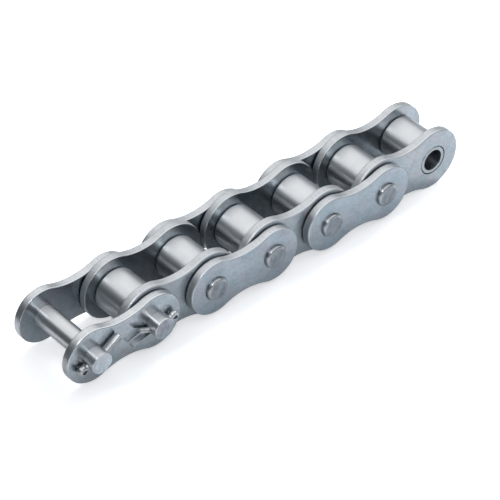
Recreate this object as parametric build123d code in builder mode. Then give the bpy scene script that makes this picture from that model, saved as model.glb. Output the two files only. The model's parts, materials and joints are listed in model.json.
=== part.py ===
"""Roller chain section of six pitches, closed at one end by a cottered connecting link.

Millimetres, +Z up. X runs along the chain, Y along the pins, with the cotter pins on the -Y side.
The origin is the centre of the free bush at the +X end, so pin n stands at X = (n - 7) * pitch.
"""
import math
import os

from build123d import *

os.makedirs("parts", exist_ok=True)

# Pitch and the widths across the chain
pitch = 25.4
inner_width = 15.75
plate_thickness = 3.1
side_gap = 0.3
bush_stand_out = 0.05
roller_side_clearance = 0.15

# Plate outlines: the gap left between the lobes of neighbouring links, and how deep the waist is
inner_lobe_gap = 1.6
inner_waist_depth = 2.55
outer_lobe_gap = 4.6
outer_waist_depth = 2.5
plate_outside_edge_radius = 0.65
plate_inside_edge_radius = 0.35

# Pins, bushes and rollers
pin_radius = 3.97
pin_running_clearance = 0.03
removable_plate_clearance = 0.02
bush_wall = 1.65
bush_rim_chamfer = 0.5
bore_rim_chamfer = 0.15
roller_radius = 7.94
roller_running_clearance = 0.08
roller_rim_radius = 0.8

# Riveted heads: an upright side, a rounded shoulder and a flat end
head_overhang = 0.35
head_height = 1.45
head_side_height = 0.5
head_flat_radius = 2.9

# Cottered ends of the connecting pins, with the metal left on each side of the cross hole
cotter_hole_radius = 1.35
cotter_hole_inner_land = 0.3
cotter_hole_outer_land = 1.7
cottered_end_radius = 0.45

# Cotter pins: two half-round legs and an eye, bent from one wire
cotter_clearance = 0.15
leg_gap = 0.1
eye_inner_radius = 0.8
eye_neck_length = 0.45
neck_bend_slack = 0.15
leg_bend_slack = 0.3
leg_bend_inset = 0.27

# Lean of each cotter pin from the chain's line, and each leg's bend from there (upwards) and length
lean_1 = 17.6
upper_leg_bend_1 = 16.4
upper_leg_length_1 = 6.4
lower_leg_bend_1 = 14.4
lower_leg_length_1 = 6.0
lean_2 = 4
upper_leg_bend_2 = 29
upper_leg_length_2 = 4.8
lower_leg_bend_2 = -8
lower_leg_length_2 = 7.8

# Widths that follow from the ones above, as distances from the chain's middle plane
inner_plate_inside = inner_width / 2
inner_plate_outside = inner_plate_inside + plate_thickness
outer_plate_inside = inner_plate_outside + side_gap
outer_plate_outside = outer_plate_inside + plate_thickness
bush_half_length = inner_plate_outside + bush_stand_out
roller_half_length = inner_plate_inside - roller_side_clearance
cotter_depth = outer_plate_outside + cotter_hole_inner_land + cotter_hole_radius
cottered_end = cotter_depth + cotter_hole_radius + cotter_hole_outer_land

# Radii that follow from the ones above
inner_lobe_radius = (pitch - inner_lobe_gap) / 2
outer_lobe_radius = (pitch - outer_lobe_gap) / 2
bush_bore_radius = pin_radius + pin_running_clearance
bush_outer_radius = bush_bore_radius + bush_wall
roller_bore_radius = bush_outer_radius + roller_running_clearance
head_radius = pin_radius + head_overhang
wire_radius = cotter_hole_radius - cotter_clearance - leg_gap / 2
eye_neck_radius = wire_radius + neck_bend_slack
leg_bend_radius = wire_radius + leg_bend_slack


def pin_x(number):
    """X of pin axis 1 to 7, where axis 7 is the free bush."""
    return (number - 7) * pitch


def side_plane(x, y):
    """Sketch plane facing the -Y side, with its own x along X and its own y along Z."""
    return Plane(origin=(x, y, 0), x_dir=(1, 0, 0), z_dir=(0, -1, 0))


def link_outline(lobe_radius, waist_depth):
    """Two round lobes one pitch apart, joined by hollow arcs that are tangent to both."""
    half_pitch = pitch / 2
    waist = lobe_radius - waist_depth
    hollow_radius = (half_pitch**2 + waist**2 - lobe_radius**2) / (2 * waist_depth)
    share = lobe_radius / (lobe_radius + hollow_radius)
    meet_x = half_pitch * (1 - share)
    meet_z = share * (waist + hollow_radius)
    ThreePointArc((-meet_x, meet_z), (0, waist), (meet_x, meet_z))
    ThreePointArc((meet_x, meet_z), (half_pitch + lobe_radius, 0), (meet_x, -meet_z))
    ThreePointArc((meet_x, -meet_z), (0, -waist), (-meet_x, -meet_z))
    ThreePointArc((-meet_x, -meet_z), (-half_pitch - lobe_radius, 0), (-meet_x, meet_z))


def make_plate(first_pin, back_y, lobe_radius, waist_depth, hole_radius):
    """One link plate from first_pin to the next, with its back face at back_y."""
    with BuildPart() as plate:
        with BuildSketch(side_plane(pin_x(first_pin) + pitch / 2, back_y)):
            with BuildLine():
                link_outline(lobe_radius, waist_depth)
            make_face()
            with GridLocations(pitch, 0, 2, 1):
                Circle(hole_radius, mode=Mode.SUBTRACT)
        extrude(amount=plate_thickness)
        inside, outside = sorted(plate.faces().filter_by(Axis.Y), key=lambda face: abs(face.center().Y))
        fillet(inside.outer_wire().edges(), plate_inside_edge_radius)
        fillet(outside.outer_wire().edges(), plate_outside_edge_radius)
    return plate


def make_bush(axis_number):
    """Bush pressed through both inner plates, with a bevelled rim that shows as a groove."""
    with BuildPart() as bush:
        with BuildSketch(side_plane(pin_x(axis_number), bush_half_length)):
            Circle(bush_outer_radius)
            Circle(bush_bore_radius, mode=Mode.SUBTRACT)
        extrude(amount=2 * bush_half_length)
        rims = bush.edges().filter_by(GeomType.CIRCLE).sort_by(SortBy.RADIUS)
        chamfer(rims[-2:], bush_rim_chamfer)
        chamfer(rims[:2], bore_rim_chamfer)
    return bush


def make_roller(axis_number):
    """Roller that turns on its bush between the inner plates."""
    rim_radius = min(roller_rim_radius, 0.4 * (roller_radius - roller_bore_radius))
    with BuildPart() as roller:
        with BuildSketch(side_plane(pin_x(axis_number), roller_half_length)):
            Circle(roller_radius)
            Circle(roller_bore_radius, mode=Mode.SUBTRACT)
        extrude(amount=2 * roller_half_length)
        rims = roller.edges().filter_by(GeomType.CIRCLE).sort_by(SortBy.RADIUS)
        fillet(rims[-2:], rim_radius)
        chamfer(rims[:2], bore_rim_chamfer)
    return roller


def draw_half_section(front_y):
    """Half section of a headed pin, round its axis, from front_y to the flat end of its back head."""
    shoulder_y = outer_plate_outside + head_side_height
    end_y = outer_plate_outside + head_height
    Polyline((0, end_y), (0, front_y), (pin_radius, front_y), (pin_radius, outer_plate_outside))
    Polyline((pin_radius, outer_plate_outside), (head_radius, outer_plate_outside), (head_radius, shoulder_y))
    shoulder_width = head_radius - head_flat_radius
    EllipticalCenterArc((head_flat_radius, shoulder_y), shoulder_width, end_y - shoulder_y, arc_size=90)
    Line((head_flat_radius, end_y), (0, end_y))


def make_rivet_pin(number):
    """Pin with a rounded head riveted over each outer plate."""
    axis = Axis((pin_x(number), 0, 0), (0, 1, 0))
    with BuildPart() as pin:
        with BuildSketch(Plane(origin=axis.position)):
            with BuildLine():
                draw_half_section(0)
            make_face()
        revolve(axis=axis)
        mirror(about=Plane.XZ)
    return pin


def make_connecting_pin(number, legs_direction):
    """Pin headed at the back only, drilled across at the front for a cotter pin."""
    axis = Axis((pin_x(number), 0, 0), (0, 1, 0))
    with BuildPart() as pin:
        with BuildSketch(Plane(origin=axis.position)):
            with BuildLine():
                draw_half_section(-cottered_end)
            make_face()
        revolve(axis=axis)
        fillet(pin.edges().filter_by(GeomType.CIRCLE).sort_by(Axis.Y)[0], cottered_end_radius)
        with Locations(Plane(origin=(pin_x(number), -cotter_depth, 0), z_dir=legs_direction)):
            Hole(cotter_hole_radius)
    return pin


def make_cotter_pin(number, legs_direction, up_side, upper_bend, upper_length, lower_bend, lower_length):
    """Split pin: a half-round wire that runs out along one leg, round the eye and back.

    legs_direction points from the eye to the legs, and up_side is the normal that turns the
    wire's own plane so that its y is upwards. Each leg has its bend away from the middle line,
    in degrees and positive upwards, and its straight length past the bend.
    """
    wire_plane = Plane(
        origin=(pin_x(number), -cotter_depth, 0),
        x_dir=legs_direction,
        z_dir=up_side,
    )
    half_gap = leg_gap / 2
    neck_start = pin_radius + eye_neck_length
    bend_start = pin_radius - leg_bend_inset
    neck_angle = math.degrees(math.acos((eye_neck_radius + half_gap) / (eye_neck_radius + eye_inner_radius)))
    bend = math.radians(upper_bend)
    upper_tip = (
        bend_start + leg_bend_radius * math.sin(bend) + upper_length * math.cos(bend),
        half_gap + leg_bend_radius * (1 - math.cos(bend)) + upper_length * math.sin(bend),
    )
    with BuildPart() as cotter:
        with BuildLine(wire_plane) as wire_path:
            leg = PolarLine(upper_tip, upper_length, 180 + upper_bend)
            turn = JernArc(leg @ 1, leg % 1, leg_bend_radius, -upper_bend)
            strand = Line(turn @ 1, (-neck_start, half_gap))
            neck = JernArc(strand @ 1, strand % 1, eye_neck_radius, -neck_angle)
            eye = JernArc(neck @ 1, neck % 1, eye_inner_radius, 180 + 2 * neck_angle)
            neck = JernArc(eye @ 1, eye % 1, eye_neck_radius, -neck_angle)
            strand = Line(neck @ 1, (bend_start, -half_gap))
            turn = JernArc(strand @ 1, strand % 1, leg_bend_radius, lower_bend)
            PolarLine(turn @ 1, lower_length, lower_bend)
        start = wire_path.wire() @ 0
        heading = wire_path.wire() % 0
        with BuildSketch(Plane(origin=start, x_dir=heading.cross(wire_plane.z_dir), z_dir=heading)):
            with BuildLine():
                CenterArc((0, 0), wire_radius, -90, 180)
                Line((0, wire_radius), (0, -wire_radius))
            make_face()
        sweep(path=wire_path.wire())
    return cotter


def save(piece, name):
    piece.part.label = name
    export_step(piece.part, f"parts/{name}.step")


def save_plate_pair(kind, suffix, first_pin, inside, outline, hole_radii):
    """Front and back plate of one link, whose inside faces stand at -inside and +inside."""
    front = make_plate(first_pin, -inside, *outline, hole_radii[0])
    save(front, f"{kind}_front{suffix}")
    back = make_plate(first_pin, inside + plate_thickness, *outline, hole_radii[1])
    save(back, f"{kind}_back{suffix}")


def direction_to_legs(lean, sign):
    """Direction from a cotter pin's eye to its legs, leaning up or down with the sign."""
    angle = math.radians(lean)
    return (sign * math.cos(angle), 0, sign * math.sin(angle))


inner_outline = (inner_lobe_radius, inner_waist_depth)
outer_outline = (outer_lobe_radius, outer_waist_depth)
pressed_on_bushes = (bush_outer_radius, bush_outer_radius)
pressed_on_pins = (pin_radius, pin_radius)
removable_front = (pin_radius + removable_plate_clearance, pin_radius)

# Inner links stand at axes 2-3, 4-5 and 6-7, outer links at pins 3-4 and 5-6, the connecting link at 1-2
for link in range(3):
    first_axis = 2 + 2 * link
    suffix = f"_{link + 1}"
    save_plate_pair("inner_plate", suffix, first_axis, inner_plate_inside, inner_outline, pressed_on_bushes)
for link in range(2):
    first_pin = 3 + 2 * link
    suffix = f"_{link + 1}"
    save_plate_pair("outer_plate", suffix, first_pin, outer_plate_inside, outer_outline, pressed_on_pins)
save_plate_pair("connecting_plate", "", 1, outer_plate_inside, outer_outline, removable_front)

for number in range(1, 7):
    save(make_bush(number + 1), f"bush_{number}")
    save(make_roller(number + 1), f"roller_{number}")
for number in range(1, 5):
    save(make_rivet_pin(number + 2), f"rivet_pin_{number}")

# Cotter pin 1 leans up to its legs, which lie closed, and cotter pin 2 lies level with spread legs
legs_1 = direction_to_legs(lean_1, 1)
legs_2 = direction_to_legs(lean_2, -1)
save(make_connecting_pin(1, legs_1), "connecting_pin_1")
save(make_connecting_pin(2, legs_2), "connecting_pin_2")
bends_1 = (upper_leg_bend_1, upper_leg_length_1, lower_leg_bend_1, lower_leg_length_1)
bends_2 = (upper_leg_bend_2, upper_leg_length_2, lower_leg_bend_2, lower_leg_length_2)
save(make_cotter_pin(1, legs_1, (0, -1, 0), *bends_1), "cotter_pin_1")
save(make_cotter_pin(2, legs_2, (0, 1, 0), *bends_2), "cotter_pin_2")
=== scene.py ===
"""Finishes, floor, light and camera for a section of stainless roller chain.

Metres, in the part's own frame: X along the chain, Y along the pins with the cotter pins on the
-Y side, +Z up. The origin is the centre of the free bush, and every pin axis is a whole number
of pitches from it. Every shape is the CAD's own: this script gives the pieces their finishes.
"""
import json
import math

import bpy
from mathutils import Matrix, Vector


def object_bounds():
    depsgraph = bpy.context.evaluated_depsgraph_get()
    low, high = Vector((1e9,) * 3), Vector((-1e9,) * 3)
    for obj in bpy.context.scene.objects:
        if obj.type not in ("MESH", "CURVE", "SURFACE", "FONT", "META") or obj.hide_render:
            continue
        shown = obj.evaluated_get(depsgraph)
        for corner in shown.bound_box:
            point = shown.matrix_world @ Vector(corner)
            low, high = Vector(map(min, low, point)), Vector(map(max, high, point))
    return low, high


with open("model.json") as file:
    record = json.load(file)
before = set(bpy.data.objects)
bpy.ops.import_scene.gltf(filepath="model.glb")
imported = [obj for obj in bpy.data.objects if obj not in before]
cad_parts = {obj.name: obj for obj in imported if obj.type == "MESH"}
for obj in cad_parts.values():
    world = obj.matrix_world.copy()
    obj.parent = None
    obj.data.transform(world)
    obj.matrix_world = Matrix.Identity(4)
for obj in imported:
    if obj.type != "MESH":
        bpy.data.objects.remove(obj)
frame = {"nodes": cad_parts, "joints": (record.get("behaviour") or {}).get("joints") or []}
cad_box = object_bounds()

MM = 0.001

# Sizes read from the frame. The last pivot is one pitch from the free bush, and six pitches make
# up the section
joint_places = {joint["name"]: Vector(joint["pos_m"]) for joint in frame["joints"]}
pitch = -joint_places["pin_6_pivot"].x
chain_middle = Vector((-3 * pitch, 0, 0))
floor_height = cad_box[0].z

# Camera: where it looks from, in degrees and metres, and how far its aim lies right of and below
# the chain's middle. The sensor and the lens are in mm
view_azimuth = -40.773
view_elevation = 40.036
view_roll = 0.253
view_distance = 0.810
aim_right = 1.08 * MM
aim_down = 5.08 * MM
sensor_width = 36.0
lens_length = 173.3

# Backdrop and fill light, as strengths where 1 is white
backdrop_white = 1.0
fill_strength = 0.32

# Floor: a plain pale sheet with a glow that only the camera sees, which fades to the backdrop
# between two distances from below the chain's middle
floor_colour = (0.78, 0.81, 0.85)
floor_roughness = 0.9
floor_specular = 0.1
floor_camera_glow = 0.48
floor_half_width = 4.0
floor_fade_start = 0.28
floor_fade_end = 0.45

# A large softbox hangs level over the chain, further over its back and its free end
softbox_left = -0.40
softbox_right = 0.76
softbox_front = -0.25
softbox_back = 0.60
softbox_height = 0.30
softbox_radiance = 0.405

# A panel stands behind the camera. A lamp off the free end, which no metal shows, lights only
# the floor
panel_direction = (-0.47, -0.56, 0.68)
panel_distance = 1.0
panel_side = 0.22
panel_radiance = 8.0
floor_lamp_direction = (0.75, 0.30, 0.60)
floor_lamp_distance = 1.0
floor_lamp_side = 0.45
floor_lamp_radiance = 14.0

# Curved cards that stand round the table, seen only in the metal. Each has its angles from +X,
# its distance and height, where its foot on the table begins, and its tones: dark up to the
# height of the pins and light at the top. Between them the tone follows the square of the height,
# unless steps say at which shares of it the tone starts and ends each of two rises, with the
# middle tone between the rises
cards = {
    "back": {
        "angles": (95, 190), "distance": 0.45, "height": 0.48, "foot": 0.125,
        "dark": 0.12, "light": 0.96, "steps": (0.42, 0.66, 0.76, 0.90), "middle": 0.44,
    },
    "left": {
        "angles": (190, 222), "distance": 0.50, "height": 0.95, "foot": 0.40,
        "dark": 0.25, "light": 0.55,
    },
    "front": {
        "angles": (222, 350), "distance": 0.50, "height": 0.35, "foot": 0.40,
        "dark": 0.36, "light": 0.70,
    },
    "side": {
        "angles": (0, 80), "distance": 0.50, "height": 0.27, "foot": 0.40,
        "dark": 0.34, "light": 0.90,
    },
}
card_colour = (0.9, 0.95, 1)
card_foot_lift = 0.2 * MM
card_panels = 32

# Radii about a pin axis where pieces meet: a pin's side, the side of a rivet head, a bush's bore
# and its outside
pin_radius = 3.97 * MM
head_radius = 4.32 * MM
bush_bore_radius = 4.0 * MM
bush_rim_radius = 5.65 * MM

# Turned surfaces spread their shine along the pin axis
turned_anisotropy = 0.86
quarter_turn = 0.25

# Sets of scratches: a set's turn in degrees, and a scratch's length and width in mm
scratch_sets = (
    ((0, 25, 10), 2.6, 0.11),
    ((15, -48, 0), 3.4, 0.09),
    ((-10, 82, 20), 1.9, 0.10),
)

# Colours that more than one finish uses, and tints that multiply a colour
outline_dark = (0.42, 0.44, 0.46)
outline_light = (0.50, 0.515, 0.53)
rim_colour = (0.60, 0.62, 0.64)
# Dark oil with painted shade, in the joints and in the bush's bore
joint_film_colour = (0.05, 0.055, 0.06)
bore_film_colour = (0.05, 0.06, 0.07)
speck_tint = (0.45, 0.45, 0.45)
patch_tints = {
    "Rosy": (1.02, 0.95, 0.95),
    "Green": (0.94, 0.975, 0.955),
    "Dull": (0.93, 0.93, 0.93),
}
smear_tint = (0.70, 0.71, 0.73)

# Plates: the dark and light colour of their clouds, the least and most roughness, the radius of
# what fills or covers their holes and how strongly a dark ring of oil and painted shade rings it
plate_finishes = {
    "outer_plate": {
        "dark": (0.355, 0.415, 0.47), "light": (0.42, 0.48, 0.53), "rough": (0.28, 0.36),
        "joint_radius": head_radius, "ring_film": 0.6,
    },
    "connecting_plate": {
        "dark": (0.40, 0.445, 0.485), "light": (0.47, 0.515, 0.555), "rough": (0.18, 0.25),
        "joint_radius": pin_radius, "ring_film": 0.0,
    },
    "inner_plate": {
        "dark": (0.37, 0.415, 0.455), "light": (0.44, 0.485, 0.52), "rough": (0.31, 0.40),
        "joint_radius": bush_rim_radius, "ring_film": 0.15,
    },
}

# Turned pieces: the colours of their clouds, the least and most roughness, the depth of the
# turning rings, and the dark colour of the clouds on a pin's end faces
turned_finishes = {
    "bush": {
        "name": "bush_ground_steel",
        "dark": (0.34, 0.37, 0.395), "light": (0.41, 0.44, 0.465), "rough": (0.28, 0.36),
        "ring_depth": 0.004 * MM,
    },
    "roller": {
        "name": "roller_turned_steel",
        "dark": (0.53, 0.55, 0.57), "light": (0.60, 0.615, 0.63), "rough": (0.36, 0.45),
        "ring_depth": 0.006 * MM,
    },
    "rivet_pin": {
        "name": "rivet_pin_steel",
        "dark": (0.35, 0.365, 0.38), "light": (0.42, 0.435, 0.45), "rough": (0.24, 0.30),
        "ring_depth": 0.002 * MM, "end_colour": (0.275, 0.305, 0.335),
    },
    "connecting_pin_1": {
        "name": "satin_pin_steel",
        "dark": (0.53, 0.545, 0.56), "light": (0.59, 0.60, 0.61), "rough": (0.34, 0.40),
        "ring_depth": 0.0008 * MM, "end_colour": (0.57, 0.63, 0.68),
    },
    "connecting_pin_2": {
        "name": "ground_pin_steel",
        "dark": (0.53, 0.545, 0.56), "light": (0.58, 0.59, 0.60), "rough": (0.26, 0.31),
        "ring_depth": 0.001 * MM, "end_colour": (0.36, 0.40, 0.44),
    },
}

# Cotter pins' wire
wire_dark = (0.42, 0.44, 0.46)
wire_light = (0.58, 0.595, 0.605)
wire_rough = (0.26, 0.38)


def camera_axes(azimuth, elevation, roll):
    """Right, up and forward of a camera that looks down at the object from that direction."""
    a, e, r = (math.radians(angle) for angle in (azimuth, elevation, roll))
    forward = Vector((-math.sin(a) * math.cos(e), math.cos(a) * math.cos(e), -math.sin(e)))
    level = Vector((math.cos(a), math.sin(a), 0))
    upright = level.cross(forward)
    right = math.cos(r) * level + math.sin(r) * upright
    up = math.cos(r) * upright - math.sin(r) * level
    return right, up, forward


def add_camera():
    """The camera at the photograph's view."""
    right, up, forward = camera_axes(view_azimuth, view_elevation, view_roll)
    place = chain_middle + aim_right * right - aim_down * up - view_distance * forward
    data = bpy.data.cameras.new("camera")
    data.sensor_width = sensor_width
    data.lens = lens_length
    camera = bpy.data.objects.new("camera", data)
    bpy.context.scene.collection.objects.link(camera)
    turn = Matrix((right, up, -forward)).transposed()
    camera.matrix_world = Matrix.Translation(place) @ turn.to_4x4()
    bpy.context.scene.camera = camera


def feed(tree, socket, value):
    """Link an input to another node's output, or set its value."""
    if isinstance(value, bpy.types.NodeSocket):
        tree.links.new(value, socket)
    else:
        socket.default_value = value


def add_node(tree, kind, values=None, **settings):
    """A new node with its settings, and the values or links of its inputs by name or number."""
    node = tree.nodes.new(kind)
    for name, value in settings.items():
        setattr(node, name, value)
    for label, value in (values or {}).items():
        feed(tree, node.inputs[label], value)
    return node


def new_group(name, inputs, outputs):
    """An empty node group with these float inputs, at their values, and these float outputs."""
    tree = bpy.data.node_groups.new(name, "ShaderNodeTree")
    for label, value in inputs.items():
        socket = tree.interface.new_socket(label, in_out="INPUT", socket_type="NodeSocketFloat")
        socket.default_value = value
    for label in outputs:
        tree.interface.new_socket(label, in_out="OUTPUT", socket_type="NodeSocketFloat")
    given = tree.nodes.new("NodeGroupInput").outputs
    result = tree.nodes.new("NodeGroupOutput").inputs
    return tree, given, result


def math_node(tree, operation, *values):
    """The output of a Math node whose inputs are sockets or numbers."""
    return add_node(tree, "ShaderNodeMath", dict(enumerate(values)), operation=operation).outputs[0]


def times(tree, first, second):
    """The product of two values."""
    return math_node(tree, "MULTIPLY", first, second)


def plus(tree, first, second):
    """The sum of two values."""
    return math_node(tree, "ADD", first, second)


def larger(tree, first, second):
    """The larger of two values."""
    return math_node(tree, "MAXIMUM", first, second)


def map_range(tree, value, low, high, new_low=0.0, new_high=1.0, smooth=True):
    """The value carried from one range to another, held at both ends."""
    values = {
        "Value": value, "From Min": low, "From Max": high, "To Min": new_low, "To Max": new_high,
    }
    way = "SMOOTHSTEP" if smooth else "LINEAR"
    return add_node(tree, "ShaderNodeMapRange", values, interpolation_type=way).outputs["Result"]


def noise(tree, place, size, detail=2.0, roughness=0.5):
    """Noise whose features are about that size in metres."""
    values = {"Vector": place, "Scale": 1 / size, "Detail": detail, "Roughness": roughness}
    return add_node(tree, "ShaderNodeTexNoise", values).outputs["Fac"]


def stretched(tree, place, stretch, turn=(0, 0, 0)):
    """The place turned by angles in degrees, then divided by the stretch along each axis."""
    angles = [math.radians(angle) for angle in turn]
    values = {"Vector": place, "Scale": stretch, "Rotation": angles}
    return add_node(tree, "ShaderNodeMapping", values, vector_type="TEXTURE").outputs["Vector"]


def object_place(tree):
    """Object coordinates, which are the chain's own frame on every piece and card."""
    return add_node(tree, "ShaderNodeTexCoord").outputs["Object"]


def apart(tree, vector):
    """The X, Y and Z of a vector."""
    return add_node(tree, "ShaderNodeSeparateXYZ", {0: vector}).outputs


def make_mottle_group():
    """Cloudy patches that a tumbled or pickled surface keeps, large and small ones together."""
    large_patch, small_patch = 7 * MM, 1.3 * MM
    large_share, small_share = 0.6, 0.4
    middle, gain = 0.5, 3.0
    tree, given, result = new_group("mottle", {"Contrast": 1.0}, ["Mask"])
    place = object_place(tree)
    large = noise(tree, place, large_patch, detail=3.0, roughness=0.55)
    small = noise(tree, place, small_patch, detail=4.0, roughness=0.6)
    both = plus(tree, times(tree, large, large_share), times(tree, small, small_share))
    away = times(tree, math_node(tree, "SUBTRACT", both, middle), given["Contrast"])
    feed(tree, result["Mask"], plus(tree, times(tree, away, gain), middle))
    return tree


def make_scratch_group():
    """Short fine scratches in three directions, as pieces get when they are tumbled together."""
    sparse_limit, dense_limit, full_depth = 0.78, 0.62, 0.85
    tree, given, result = new_group("scratches", {"Density": 0.5}, ["Mask"])
    place = object_place(tree)
    limit = map_range(tree, given["Density"], 0.0, 1.0, sparse_limit, dense_limit, smooth=False)
    marks = []
    for turn, length, width in scratch_sets:
        line_place = stretched(tree, place, (length * MM, width * MM, width * MM), turn)
        line = noise(tree, line_place, 1.0, detail=1.0)
        marks.append(map_range(tree, line, limit, full_depth))
    first, second, third = marks
    feed(tree, result["Mask"], larger(tree, larger(tree, first, second), third))
    return tree


def make_grain_group():
    """Even fine grain of a blasted or tumbled surface."""
    fine_grain, coarse_grain = 0.14 * MM, 0.6 * MM
    tree, given, result = new_group("grain", {"Coarse Share": 0.4}, ["Height"])
    place = object_place(tree)
    fine = noise(tree, place, fine_grain)
    coarse = noise(tree, place, coarse_grain)
    share = given["Coarse Share"]
    rest = math_node(tree, "SUBTRACT", 1.0, share)
    feed(tree, result["Height"], plus(tree, times(tree, coarse, share), times(tree, fine, rest)))
    return tree


def make_facing_group():
    """Which way the surface faces, by the Y of its normal.

    Masks of the flat faces, of the outline round them, of the rounded rim between the two, and
    of the faces that look towards the chain's middle plane.
    """
    flat_from, flat_full = 0.90, 0.995
    outline_from, outline_full = 0.35, 0.05
    inward_from, inward_full = -0.4, -0.95
    tree, _, result = new_group("facing", {}, ["Flat", "Rim", "Outline", "Inward"])
    normal_y = apart(tree, add_node(tree, "ShaderNodeTexCoord").outputs["Normal"])["Y"]
    along = math_node(tree, "ABSOLUTE", normal_y)
    flat = map_range(tree, along, flat_from, flat_full)
    outline = map_range(tree, along, outline_from, outline_full)
    feed(tree, result["Flat"], flat)
    feed(tree, result["Outline"], outline)
    feed(tree, result["Rim"], math_node(tree, "SUBTRACT", 1.0, plus(tree, flat, outline)))
    side = math_node(tree, "SIGN", apart(tree, object_place(tree))["Y"])
    outward = times(tree, normal_y, side)
    feed(tree, result["Inward"], map_range(tree, outward, inward_from, inward_full))
    return tree


def make_axis_group():
    """Radius from the nearest pin axis, and place along it."""
    tree, _, result = new_group("own_axis", {}, ["Radius", "Along"])
    place = apart(tree, object_place(tree))
    pitches = math_node(tree, "DIVIDE", place["X"], pitch)
    nearest = times(tree, math_node(tree, "ROUND", pitches), pitch)
    across = math_node(tree, "SUBTRACT", place["X"], nearest)
    squares = plus(tree, times(tree, across, across), times(tree, place["Z"], place["Z"]))
    feed(tree, result["Radius"], math_node(tree, "SQRT", squares))
    feed(tree, result["Along"], place["Y"])
    return tree


def make_speckle_group():
    """Masks of soft dark speckle, and of faint rosy, green and dull patches."""
    speck_size, speck_full, speck_none = 0.7 * MM, 0.30, 0.62
    rosy_size, green_size, dull_size = 6.0 * MM, 4.5 * MM, 2.6 * MM
    patch_none, tint_full, dull_full = 0.46, 0.62, 0.68
    other_way = (40, 25, 70)
    tree, given, result = new_group("speckle", {"Share": 0.3}, ["Speck", "Rosy", "Green", "Dull"])
    place = object_place(tree)
    fine = noise(tree, place, speck_size, detail=3.0, roughness=0.6)
    speck = map_range(tree, fine, speck_full, speck_none, given["Share"], 0.0)
    rosy = map_range(tree, noise(tree, place, rosy_size), patch_none, tint_full)
    aside = stretched(tree, place, (1.0, 1.0, 1.0), other_way)
    green = map_range(tree, noise(tree, aside, green_size), patch_none, tint_full)
    dull = map_range(tree, noise(tree, aside, dull_size, detail=3.0), patch_none, dull_full)
    feed(tree, result["Speck"], speck)
    feed(tree, result["Rosy"], rosy)
    feed(tree, result["Green"], green)
    feed(tree, result["Dull"], dull)
    return tree


def make_streak_group():
    """Streaks that a punch leaves across a plate's outline: their height, and a light mask."""
    streak_width, streak_length = 0.35 * MM, 3.0 * MM
    light_none, light_full = 0.35, 0.62
    tree, _, result = new_group("punch_streaks", {}, ["Height", "Light"])
    place = stretched(tree, object_place(tree), (streak_width, streak_length, streak_width))
    height = noise(tree, place, 1.0, detail=3.0, roughness=0.6)
    feed(tree, result["Height"], height)
    feed(tree, result["Light"], map_range(tree, height, light_none, light_full))
    return tree


def make_film_group():
    """Dark oil and painted shade where a plate meets what fills its hole: on the wall, and a ring
    round it.
    """
    ring_width = 0.45 * MM
    wall_full, wall_none, wall_share = 0.02 * MM, 0.08 * MM, 0.9
    inputs = {"Radius": 0.0, "Outline": 0.0, "Joint Radius": pin_radius, "Ring Share": 0.0}
    tree, given, result = new_group("joint_oil_and_shade", inputs, ["Film"])
    past_joint = math_node(tree, "SUBTRACT", given["Radius"], given["Joint Radius"])
    ring = map_range(tree, past_joint, 0.0, ring_width, given["Ring Share"], 0.0)
    wall = map_range(tree, past_joint, wall_full, wall_none, wall_share, 0.0)
    feed(tree, result["Film"], larger(tree, ring, times(tree, wall, given["Outline"])))
    return tree


def make_ring_group():
    """Fine rings that turning or grinding leaves round a cylinder and on its ends."""
    ring_size = 0.22 * MM
    tree, given, result = new_group("turning_rings", {"Radius": 0.0, "Along": 0.0}, ["Rings"])
    values = {"X": given["Radius"], "Y": given["Along"]}
    place = add_node(tree, "ShaderNodeCombineXYZ", values).outputs[0]
    feed(tree, result["Rings"], noise(tree, place, ring_size, detail=3.0, roughness=0.65))
    return tree


def make_smear_group():
    """Broad dull smears on the end of a pin, upright but for a slight lean."""
    smear_size, lean = (2.2 * MM, 4.0 * MM, 5.0 * MM), (0, 20, 0)
    smear_none, smear_full = 0.36, 0.68
    tree, _, result = new_group("end_smears", {}, ["Smear"])
    place = stretched(tree, object_place(tree), smear_size, lean)
    smear = noise(tree, place, 1.0, detail=3.0)
    feed(tree, result["Smear"], map_range(tree, smear, smear_none, smear_full))
    return tree


groups = {
    "mottle": make_mottle_group(),
    "scratches": make_scratch_group(),
    "grain": make_grain_group(),
    "facing": make_facing_group(),
    "own_axis": make_axis_group(),
    "speckle": make_speckle_group(),
    "punch_streaks": make_streak_group(),
    "joint_oil_and_shade": make_film_group(),
    "turning_rings": make_ring_group(),
    "end_smears": make_smear_group(),
}


def place_group(tree, name, **values):
    """The outputs of a shared group, placed with its own numbers or links."""
    inputs = {label.replace("_", " "): value for label, value in values.items()}
    return add_node(tree, "ShaderNodeGroup", inputs, node_tree=groups[name]).outputs


def colour_mix(tree, share, first, second, blend="MIX"):
    """A mix of two colours, each a socket or three numbers, by a share that varies."""
    colour_a, colour_b, colour_result = 6, 7, 2
    first, second = (
        colour if isinstance(colour, bpy.types.NodeSocket) else (*colour, 1)
        for colour in (first, second)
    )
    values = {"Factor": share, colour_a: first, colour_b: second}
    node = add_node(tree, "ShaderNodeMix", values, data_type="RGBA", blend_type=blend)
    return node.outputs[colour_result]


def tinted(tree, share, colour, tint):
    """The colour multiplied by a tint, by a share that varies."""
    return colour_mix(tree, share, colour, tint, "MULTIPLY")


def speckled(tree, colour, share, patches=True):
    """The colour broken up by dark speckle and, if asked, by the faint patches."""
    masks = place_group(tree, "speckle", Share=share)
    colour = tinted(tree, masks["Speck"], colour, speck_tint)
    if patches:
        for label, tint in patch_tints.items():
            colour = tinted(tree, masks[label], colour, tint)
    return colour


def add_bump(tree, height, distance, under=None):
    """A Bump node's normal, over another normal where one is given."""
    values = {"Height": height, "Distance": distance}
    if under is not None:
        values["Normal"] = under
    return add_node(tree, "ShaderNodeBump", values).outputs["Normal"]


def scratched(tree, scratch, depth, normal):
    """The normal with the scratches cut into it."""
    return add_bump(tree, times(tree, scratch, -1.0), depth, under=normal)


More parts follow.
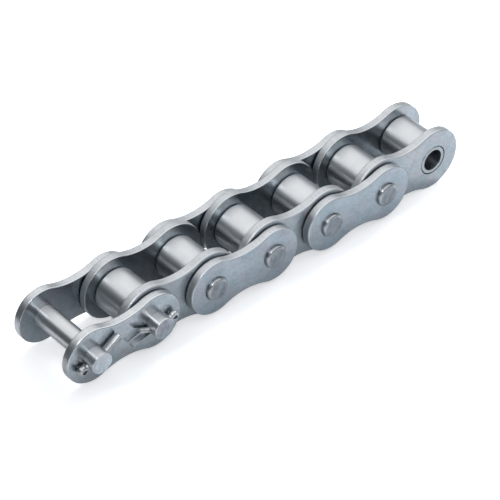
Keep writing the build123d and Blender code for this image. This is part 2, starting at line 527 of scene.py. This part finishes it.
def new_steel(name):
    """A material with an all-metal surface, ready for its colour, roughness and normal."""
    material = bpy.data.materials.new(name)
    material.use_nodes = True
    tree = material.node_tree
    surface = tree.nodes["Principled BSDF"]
    surface.inputs["Metallic"].default_value = 1.0
    return material, tree, surface


def finish_surface(tree, surface, colour, rough, normal):
    """Connect the three inputs that vary over the surface."""
    feed(tree, surface.inputs["Base Color"], colour)
    feed(tree, surface.inputs["Roughness"], rough)
    feed(tree, surface.inputs["Normal"], normal)


def make_plate_steel(name, dark, light, rough, joint_radius, ring_film):
    """Tumbled plate: cloudy satin faces, a brighter rounded rim and a punched outline.

    The outline is streaked and rougher than the faces, and the faces that look at the rollers
    are rubbed smoother. A dark film of oil and painted shade lies on the wall of each hole and,
    by ring_film, on the face round what fills it.
    """
    speckle_share, rim_share = 0.28, 0.6
    rubbed_smoother, outline_rougher, scratch_rougher = 0.35, 0.12, 0.05
    grain_height, streak_depth, scratch_depth = 0.006 * MM, 0.045 * MM, 0.008 * MM
    material, tree, surface = new_steel(name)
    facing = place_group(tree, "facing")
    outline = facing["Outline"]
    cloud = place_group(tree, "mottle", Contrast=1.3)["Mask"]
    scratch = place_group(tree, "scratches", Density=0.6)["Mask"]
    grain = place_group(tree, "grain", Coarse_Share=0.4)["Height"]
    streaks = place_group(tree, "punch_streaks")
    film = place_group(
        tree,
        "joint_oil_and_shade",
        Radius=place_group(tree, "own_axis")["Radius"],
        Outline=outline,
        Joint_Radius=joint_radius,
        Ring_Share=ring_film,
    )["Film"]

    colour = speckled(tree, colour_mix(tree, cloud, dark, light), speckle_share)
    outline_colour = colour_mix(tree, streaks["Light"], outline_dark, outline_light)
    colour = colour_mix(tree, outline, colour, outline_colour)
    colour = colour_mix(tree, times(tree, facing["Rim"], rim_share), colour, rim_colour)
    # Painted shade, with dark oil, in the joint round each hole
    colour = colour_mix(tree, film, colour, joint_film_colour)

    smoothest, roughest = rough
    rough = map_range(tree, cloud, 0.0, 1.0, roughest, smoothest, smooth=False)
    left = math_node(tree, "SUBTRACT", 1.0, times(tree, facing["Inward"], rubbed_smoother))
    rough = plus(tree, times(tree, rough, left), times(tree, outline, outline_rougher))
    rough = plus(tree, rough, times(tree, scratch, scratch_rougher))

    normal = add_bump(tree, grain, grain_height)
    across = times(tree, streaks["Height"], outline)
    normal = add_bump(tree, across, streak_depth, under=normal)
    normal = scratched(tree, scratch, scratch_depth, normal)
    finish_surface(tree, surface, colour, rough, normal)
    return material


def make_turned_steel(name, dark, light, rough, ring_depth, end_colour=None):
    """Steel turned or ground about its pin axis: fine rings round the cylinder and on the ends.

    An end with its own colour is speckled, smeared and a little rougher.
    """
    end_speckle, end_lighter = 0.3, 1.25
    scratch_rougher, end_rougher = 0.05, 0.06
    ring_low, ring_high = 0.3, 0.7
    scratch_depth = 1.3 * ring_depth
    material, tree, surface = new_steel(name)
    surface.inputs["Anisotropic"].default_value = turned_anisotropy
    surface.inputs["Anisotropic Rotation"].default_value = quarter_turn
    tangent = add_node(tree, "ShaderNodeTangent", direction_type="RADIAL", axis="Y")
    feed(tree, surface.inputs["Tangent"], tangent.outputs["Tangent"])
    axis = place_group(tree, "own_axis")
    cloud = place_group(tree, "mottle", Contrast=0.9)["Mask"]
    scratch = place_group(tree, "scratches", Density=0.35)["Mask"]
    rings = place_group(tree, "turning_rings", Radius=axis["Radius"], Along=axis["Along"])["Rings"]

    colour = colour_mix(tree, cloud, dark, light)
    rough = map_range(tree, rings, ring_low, ring_high, *rough, smooth=False)
    rough = plus(tree, rough, times(tree, scratch, scratch_rougher))
    if end_colour is not None:
        flat = place_group(tree, "facing")["Flat"]
        lighter = [end_lighter * part for part in end_colour]
        end_face = speckled(tree, colour_mix(tree, cloud, end_colour, lighter), end_speckle)
        smear = place_group(tree, "end_smears")["Smear"]
        end_face = tinted(tree, smear, end_face, smear_tint)
        colour = colour_mix(tree, flat, colour, end_face)
        rough = plus(tree, rough, times(tree, flat, end_rougher))
    normal = scratched(tree, scratch, scratch_depth, add_bump(tree, rings, ring_depth))
    finish_surface(tree, surface, colour, rough, normal)
    return material


def darken_bore(material):
    """Dark oil and painted shade in the bush's bore, which fade out on its bevelled rim."""
    film_full, film_none = bush_bore_radius + 0.04 * MM, bush_bore_radius + 0.16 * MM
    film_share = 0.45
    tree = material.node_tree
    surface = tree.nodes["Principled BSDF"]
    radius = place_group(tree, "own_axis")["Radius"]
    film = map_range(tree, radius, film_full, film_none, film_share, 0.0)
    clean = surface.inputs["Base Color"].links[0].from_socket
    # Painted shade, with dark oil, inside the bore
    darkened = colour_mix(tree, film, clean, bore_film_colour)
    feed(tree, surface.inputs["Base Color"], darkened)


def make_wire_steel():
    """Drawn wire of the cotter pins: clouded, speckled, grainy and nicked."""
    speckle_share = 0.4
    grain_height, nick_depth = 0.016 * MM, 0.008 * MM
    material, tree, surface = new_steel("cotter_wire_steel")
    cloud = place_group(tree, "mottle", Contrast=1.4)["Mask"]
    scratch = place_group(tree, "scratches", Density=0.7)["Mask"]
    grain = place_group(tree, "grain", Coarse_Share=0.7)["Height"]
    clouded = colour_mix(tree, cloud, wire_dark, wire_light)
    colour = speckled(tree, clouded, speckle_share, patches=False)
    smoothest, roughest = wire_rough
    rough = map_range(tree, cloud, 0.0, 1.0, roughest, smoothest, smooth=False)
    normal = scratched(tree, scratch, nick_depth, add_bump(tree, grain, grain_height))
    finish_surface(tree, surface, colour, rough, normal)
    return material


def dress_nodes():
    """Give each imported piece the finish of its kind."""
    finishes = {kind: make_turned_steel(**finish) for kind, finish in turned_finishes.items()}
    darken_bore(finishes["bush"])
    for kind, finish in plate_finishes.items():
        finishes[kind] = make_plate_steel(f"{kind}_steel", **finish)
    finishes["cotter_pin"] = make_wire_steel()
    for name, node in frame["nodes"].items():
        kind = next(kind for kind in finishes if name.startswith(kind))
        node.data.materials.clear()
        node.data.materials.append(finishes[kind])


def make_world():
    """A white backdrop for the camera and in metal and glass, and a weaker fill for the rest."""
    world = bpy.data.worlds.new("studio")
    bpy.context.scene.world = world
    world.use_nodes = True
    tree = world.node_tree
    background = tree.nodes["Background"]
    background.inputs["Color"].default_value = (1, 1, 1, 1)
    rays = add_node(tree, "ShaderNodeLightPath").outputs
    seen = larger(tree, rays["Is Camera Ray"], rays["Is Glossy Ray"])
    seen = larger(tree, seen, rays["Is Transmission Ray"])
    strength = map_range(tree, seen, 0, 1, fill_strength, backdrop_white, smooth=False)
    feed(tree, background.inputs["Strength"], strength)


def make_floor():
    """The floor under the chain, which keeps its shadow.

    Far from the chain the camera sees the backdrop through it, and from below it is clear.
    """
    bpy.ops.object.select_all(action="DESELECT")
    bpy.ops.mesh.primitive_plane_add(
        size=2 * floor_half_width, location=(chain_middle.x, 0, floor_height)
    )
    floor = bpy.context.object
    floor.name = "floor"
    material = bpy.data.materials.new("pale_floor")
    material.use_nodes = True
    tree = material.node_tree
    surface = tree.nodes["Principled BSDF"]
    surface.inputs["Base Color"].default_value = (*floor_colour, 1)
    surface.inputs["Roughness"].default_value = floor_roughness
    surface.inputs["Specular IOR Level"].default_value = floor_specular
    surface.inputs["Emission Color"].default_value = (1, 1, 1, 1)
    camera_ray = add_node(tree, "ShaderNodeLightPath").outputs["Is Camera Ray"]
    glow = times(tree, camera_ray, floor_camera_glow)
    feed(tree, surface.inputs["Emission Strength"], glow)

    own_place = {0: object_place(tree), 1: (0, 0, 0)}
    away = add_node(tree, "ShaderNodeVectorMath", own_place, operation="DISTANCE")
    fade = map_range(tree, away.outputs["Value"], floor_fade_start, floor_fade_end)
    from_below = add_node(tree, "ShaderNodeNewGeometry").outputs["Backfacing"]
    clear_share = larger(tree, from_below, times(tree, fade, camera_ray))
    clear = add_node(tree, "ShaderNodeBsdfTransparent").outputs["BSDF"]
    parts = {0: clear_share, 1: surface.outputs["BSDF"], 2: clear}
    blend = add_node(tree, "ShaderNodeMixShader", parts)
    feed(tree, tree.nodes["Material Output"].inputs["Surface"], blend.outputs[0])
    floor.data.materials.append(material)


def add_lamp(name, place, facing, width, length, radiance):
    """A flat rectangular lamp, its width along X where it faces straight down.

    Blender's power for such a lamp is four times its area, times its radiance.
    """
    data = bpy.data.lights.new(name, "AREA")
    data.shape = "RECTANGLE"
    data.size = width
    data.size_y = length
    data.energy = radiance * 4 * width * length
    lamp = bpy.data.objects.new(name, data)
    bpy.context.scene.collection.objects.link(lamp)
    down = Vector((0, 0, -1))
    turn = down.rotation_difference(Vector(facing))
    lamp.matrix_world = Matrix.Translation(place) @ turn.to_matrix().to_4x4()
    return lamp


def add_square_lamp(name, direction, distance, side, radiance):
    """A square lamp that faces the chain's middle from that direction."""
    outward = Vector(direction).normalized()
    return add_lamp(name, chain_middle + distance * outward, -outward, side, side, radiance)


def add_lamps():
    """The softbox overhead, the panel behind the camera and the floor's own lamp."""
    middle = (
        (softbox_left + softbox_right) / 2, (softbox_front + softbox_back) / 2, softbox_height,
    )
    width = softbox_right - softbox_left
    length = softbox_back - softbox_front
    add_lamp("overhead_softbox", middle, (0, 0, -1), width, length, softbox_radiance)
    add_square_lamp("camera_panel", panel_direction, panel_distance, panel_side, panel_radiance)
    lamp = add_square_lamp(
        "floor_lamp",
        floor_lamp_direction,
        floor_lamp_distance,
        floor_lamp_side,
        floor_lamp_radiance,
    )
    lamp.visible_glossy = False


def card_tone(tree, shape, rise):
    """The card's tone by its rise, from 0 at the pins' height to 1 at the card's top."""
    if "steps" not in shape:
        square = times(tree, rise, rise)
        return map_range(tree, square, 0, 1, shape["dark"], shape["light"], smooth=False)
    first, second, third, last = shape["steps"]
    lower = map_range(tree, rise, first, second, shape["dark"], shape["middle"])
    upper = map_range(tree, rise, third, last, 0.0, shape["light"] - shape["middle"])
    return plus(tree, lower, upper)


def make_card_mesh(name, shape):
    """A curved wall round the chain's middle, with a foot along the table in front of it.

    Each row of corners has the foot's edge, the wall's base and its top.
    """
    row_length = 3
    foot_height = floor_height + card_foot_lift
    top = floor_height + shape["height"]
    start, end = shape["angles"]
    corners = []
    for step in range(card_panels + 1):
        angle = math.radians(start + (end - start) * step / card_panels)
        outward = Vector((math.cos(angle), math.sin(angle), 0))
        foot = chain_middle + shape["foot"] * outward
        wall = chain_middle + shape["distance"] * outward
        corners.append((foot.x, foot.y, foot_height))
        corners.append((wall.x, wall.y, foot_height))
        corners.append((wall.x, wall.y, top))
    faces = []
    for step in range(card_panels):
        for place_in_row in range(row_length - 1):
            first = row_length * step + place_in_row
            after = first + row_length
            faces.append((first, first + 1, after + 1, after))
    mesh = bpy.data.meshes.new(name)
    mesh.from_pydata(corners, [], faces)
    return mesh


def add_card(side):
    """A card that glows by its tone and that only the metal shows."""
    shape = cards[side]
    name = f"{side}_card"
    mesh = make_card_mesh(name, shape)
    card = bpy.data.objects.new(name, mesh)
    bpy.context.scene.collection.objects.link(card)

    material = bpy.data.materials.new(name)
    material.use_nodes = True
    tree = material.node_tree
    surface = tree.nodes["Principled BSDF"]
    surface.inputs["Base Color"].default_value = (0, 0, 0, 1)
    surface.inputs["Specular IOR Level"].default_value = 0
    surface.inputs["Emission Color"].default_value = (*card_colour, 1)
    height = apart(tree, object_place(tree))["Z"]
    rise = map_range(tree, height, 0.0, floor_height + shape["height"], smooth=False)
    feed(tree, surface.inputs["Emission Strength"], card_tone(tree, shape, rise))
    mesh.materials.append(material)
    card.visible_camera = False
    card.visible_diffuse = False
    card.visible_shadow = False


add_camera()
dress_nodes()
make_world()
make_floor()
add_lamps()
for side in cards:
    add_card(side)

bpy.context.scene.view_settings.view_transform = "Standard"
